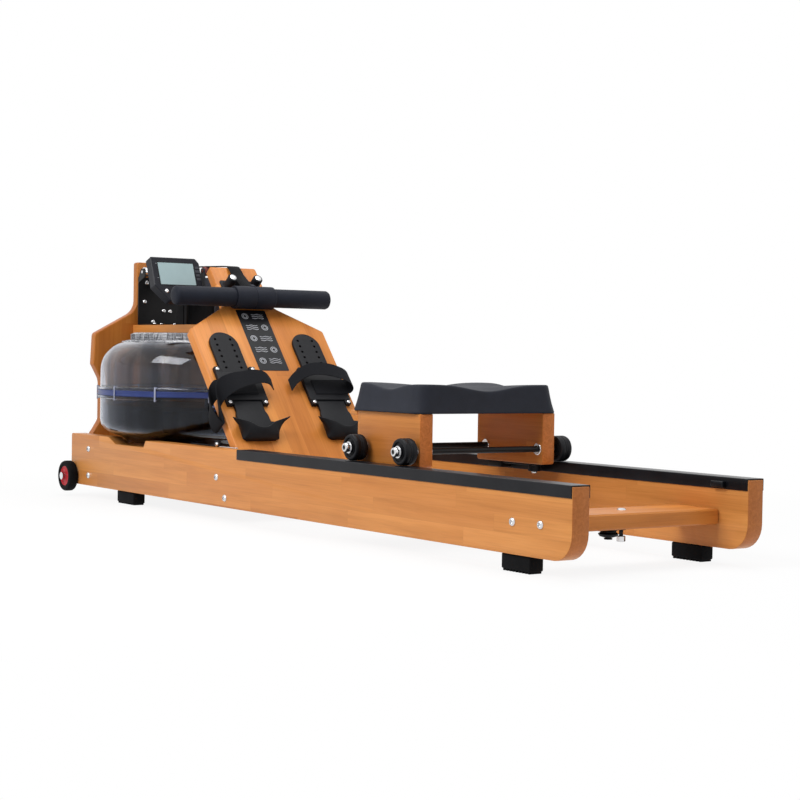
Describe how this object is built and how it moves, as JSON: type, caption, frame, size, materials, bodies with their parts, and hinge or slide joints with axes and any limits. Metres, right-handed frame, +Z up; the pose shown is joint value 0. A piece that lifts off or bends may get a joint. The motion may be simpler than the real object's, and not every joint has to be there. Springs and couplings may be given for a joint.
{
  "type": "rowing machine",
  "caption": "Rowing machine with wooden rails, a clear water tank and paddle, a rolling seat, a belt-driven pull handle, adjustable footrests and a tilting monitor.",
  "frame": {"origin": "on the floor, under the middle of the whole machine", "axes": "+X runs along the rails to their rear end, so the rower faces -X; +Y is the rower's right; +Z is up"},
  "size_m": [2.11, 0.57, 0.632],
  "materials": {
    "wood": "satin lacquer over glued strips",
    "clear_shell": "clear, polished",
    "water": null,
    "blue_seal": "satin",
    "black_plastic": "matt moulded",
    "grey_plastic": "matt moulded",
    "red_plastic": "matt moulded",
    "black_steel": "powder coat",
    "chrome": "polished",
    "black_rubber": "matt",
    "rail_cover": "satin extrusion",
    "foam": "soft foam",
    "webbing": "woven",
    "seat_skin": "matt moulded skin",
    "wheel_rubber": "satin",
    "display": "clear window over a grey-green display"
  },
  "bodies": {
    "frame": {"rail_left": "wood", "rail_right": "wood", "front_board": "wood", "footboard": "wood", "shelf_board": "wood", "front_cross_beam": "wood", "foot_cross_beam": "wood", "rear_cross_board": "wood", "tank_base_board": "wood", "rail_cover_left": "rail_cover", "rail_cover_right": "rail_cover", "foot_front_left": "black_rubber", "foot_front_right": "black_rubber", "foot_rear_left": "black_rubber", "foot_rear_right": "black_rubber", "tank_lower_shell": "clear_shell", "tank_upper_shell": "clear_shell", "tank_neck_ring": "clear_shell", "tank_seal": "blue_seal", "tank_water": "water", "drum_guard": "black_plastic", "handle_rest": "black_plastic", "foot_bracket_left": "black_plastic", "foot_bracket_right": "black_plastic", "roller_bridge": "grey_plastic", "front_bracket": "black_steel", "monitor_bracket": "black_steel", "recoil_bracket": "black_steel", "transport_axle": "chrome", "belt_span": "webbing", "foot_strap_left": "webbing", "foot_strap_right": "webbing"},
    "seat": {"seat_pad": "seat_skin", "seat_board": "wood", "seat_side_left": "wood", "seat_side_right": "wood", "seat_axle_front": "black_steel", "seat_axle_rear": "black_steel"},
    "handle": {"handle_grip": "foam", "handle_sleeve": "black_rubber", "drive_strap": "webbing"},
    "drum": {"drive_drum": "grey_plastic"},
    "paddle": {"paddle": "grey_plastic"},
    "upper_roller": {"top_roller": "red_plastic"},
    "front_roller_body": {"front_roller": "chrome"},
    "foot_slider_left": {"foot_slider_left": "black_plastic"},
    "foot_slider_right": {"foot_slider_right": "black_plastic"},
    "transport_wheel_left": {"transport_wheel_left": "wheel_rubber"},
    "transport_wheel_right": {"transport_wheel_right": "wheel_rubber"},
    "recoil_pulley": {"recoil_pulley": "black_plastic"},
    "monitor": {"monitor_housing": "black_plastic", "monitor_lens": "display"},
    "seat_wheel_front_left": {"seat_wheel_front_left": "wheel_rubber"},
    "seat_wheel_front_right": {"seat_wheel_front_right": "wheel_rubber"},
    "seat_wheel_rear_left": {"seat_wheel_rear_left": "wheel_rubber"},
    "seat_wheel_rear_right": {"seat_wheel_rear_right": "wheel_rubber"},
    "monitor_button_1": {"monitor_button_1": "grey_plastic"},
    "monitor_button_2": {"monitor_button_2": "grey_plastic"},
    "monitor_button_3": {"monitor_button_3": "grey_plastic"},
    "monitor_button_4": {"monitor_button_4": "grey_plastic"}
  },
  "joints": [
    {"name": "seat_slide", "type": "slide", "parent": "frame", "child": "seat", "axis": [1, 0, 0], "range_m": [-0.38, 0.43]},
    {"name": "seat_wheel_front_left_spin", "type": "hinge", "parent": "seat", "child": "seat_wheel_front_left", "pos_m": [0.312, -0.201, 0.1978], "axis": [0, 1, 0], "continuous": true},
    {"name": "seat_wheel_front_right_spin", "type": "hinge", "parent": "seat", "child": "seat_wheel_front_right", "pos_m": [0.312, 0.201, 0.1978], "axis": [0, 1, 0], "continuous": true},
    {"name": "seat_wheel_rear_left_spin", "type": "hinge", "parent": "seat", "child": "seat_wheel_rear_left", "pos_m": [0.492, -0.201, 0.1978], "axis": [0, 1, 0], "continuous": true},
    {"name": "seat_wheel_rear_right_spin", "type": "hinge", "parent": "seat", "child": "seat_wheel_rear_right", "pos_m": [0.492, 0.201, 0.1978], "axis": [0, 1, 0], "continuous": true},
    {"name": "handle_slide", "type": "slide", "parent": "frame", "child": "handle", "axis": [1, 0, 0], "range_m": [0, 1.1], "stiffness_N_per_m": 12, "springref_m": -0.8, "deforming": ["drive_strap"]},
    {"name": "drum_spin", "type": "hinge", "parent": "frame", "child": "drum", "pos_m": [-0.6985, 0, 0.502], "axis": [0, 0, 1], "continuous": true},
    {"name": "paddle_spin", "type": "hinge", "parent": "frame", "child": "paddle", "pos_m": [-0.6985, 0, 0.209], "axis": [0, 0, 1], "continuous": true},
    {"name": "top_roller_spin", "type": "hinge", "parent": "frame", "child": "upper_roller", "pos_m": [-0.688, 0, 0.6005], "axis": [0, 1, 0], "continuous": true},
    {"name": "front_roller_spin", "type": "hinge", "parent": "frame", "child": "front_roller_body", "pos_m": [-0.937, 0, 0.604], "axis": [0, 1, 0], "continuous": true},
    {"name": "foot_slider_left_slide", "type": "slide", "parent": "frame", "child": "foot_slider_left", "axis": [0.6441, 0, -0.7649], "range_m": [-0.0178, 0.0712]},
    {"name": "transport_wheel_left_spin", "type": "hinge", "parent": "frame", "child": "transport_wheel_left", "pos_m": [-1.0145, -0.2493, 0.0535], "axis": [0, 1, 0], "continuous": true},
    {"name": "foot_slider_right_slide", "type": "slide", "parent": "frame", "child": "foot_slider_right", "axis": [0.6441, 0, -0.7649], "range_m": [-0.0178, 0.0712]},
    {"name": "transport_wheel_right_spin", "type": "hinge", "parent": "frame", "child": "transport_wheel_right", "pos_m": [-1.0145, 0.2493, 0.0535], "axis": [0, 1, 0], "continuous": true},
    {"name": "recoil_pulley_spin", "type": "hinge", "parent": "frame", "child": "recoil_pulley", "pos_m": [0.915, -0.028, 0.066], "axis": [0, 0, 1], "continuous": true},
    {"name": "monitor_tilt", "type": "hinge", "parent": "frame", "child": "monitor", "pos_m": [-0.70909, -0.1065, 0.5676], "axis": [0, 1, 0], "range_deg": [-25, 15]},
    {"name": "monitor_button_1_press", "type": "slide", "parent": "monitor", "child": "monitor_button_1", "axis": [-0.9272, 0, -0.3746], "range_m": [0, 0.001], "stiffness_N_per_m": 800, "springref_m": -0.0005},
    {"name": "monitor_button_2_press", "type": "slide", "parent": "monitor", "child": "monitor_button_2", "axis": [-0.9272, 0, -0.3746], "range_m": [0, 0.001], "stiffness_N_per_m": 800, "springref_m": -0.0005},
    {"name": "monitor_button_3_press", "type": "slide", "parent": "monitor", "child": "monitor_button_3", "axis": [-0.9272, 0, -0.3746], "range_m": [0, 0.001], "stiffness_N_per_m": 800, "springref_m": -0.0005},
    {"name": "monitor_button_4_press", "type": "slide", "parent": "monitor", "child": "monitor_button_4", "axis": [-0.9272, 0, -0.3746], "range_m": [0, 0.001], "stiffness_N_per_m": 800, "springref_m": -0.0005}
  ],
  "couplings": [
    {"joint": "seat_wheel_front_left_spin", "follows": "seat_slide", "rad_per_m": 36.364},
    {"joint": "seat_wheel_front_right_spin", "follows": "seat_slide", "rad_per_m": 36.364},
    {"joint": "seat_wheel_rear_left_spin", "follows": "seat_slide", "rad_per_m": 36.364},
    {"joint": "seat_wheel_rear_right_spin", "follows": "seat_slide", "rad_per_m": 36.364},
    {"joint": "drum_spin", "follows": "handle_slide", "rad_per_m": -25.575},
    {"joint": "top_roller_spin", "follows": "handle_slide", "rad_per_m": 76.336},
    {"joint": "front_roller_spin", "follows": "handle_slide", "rad_per_m": 73.529}
  ]
}
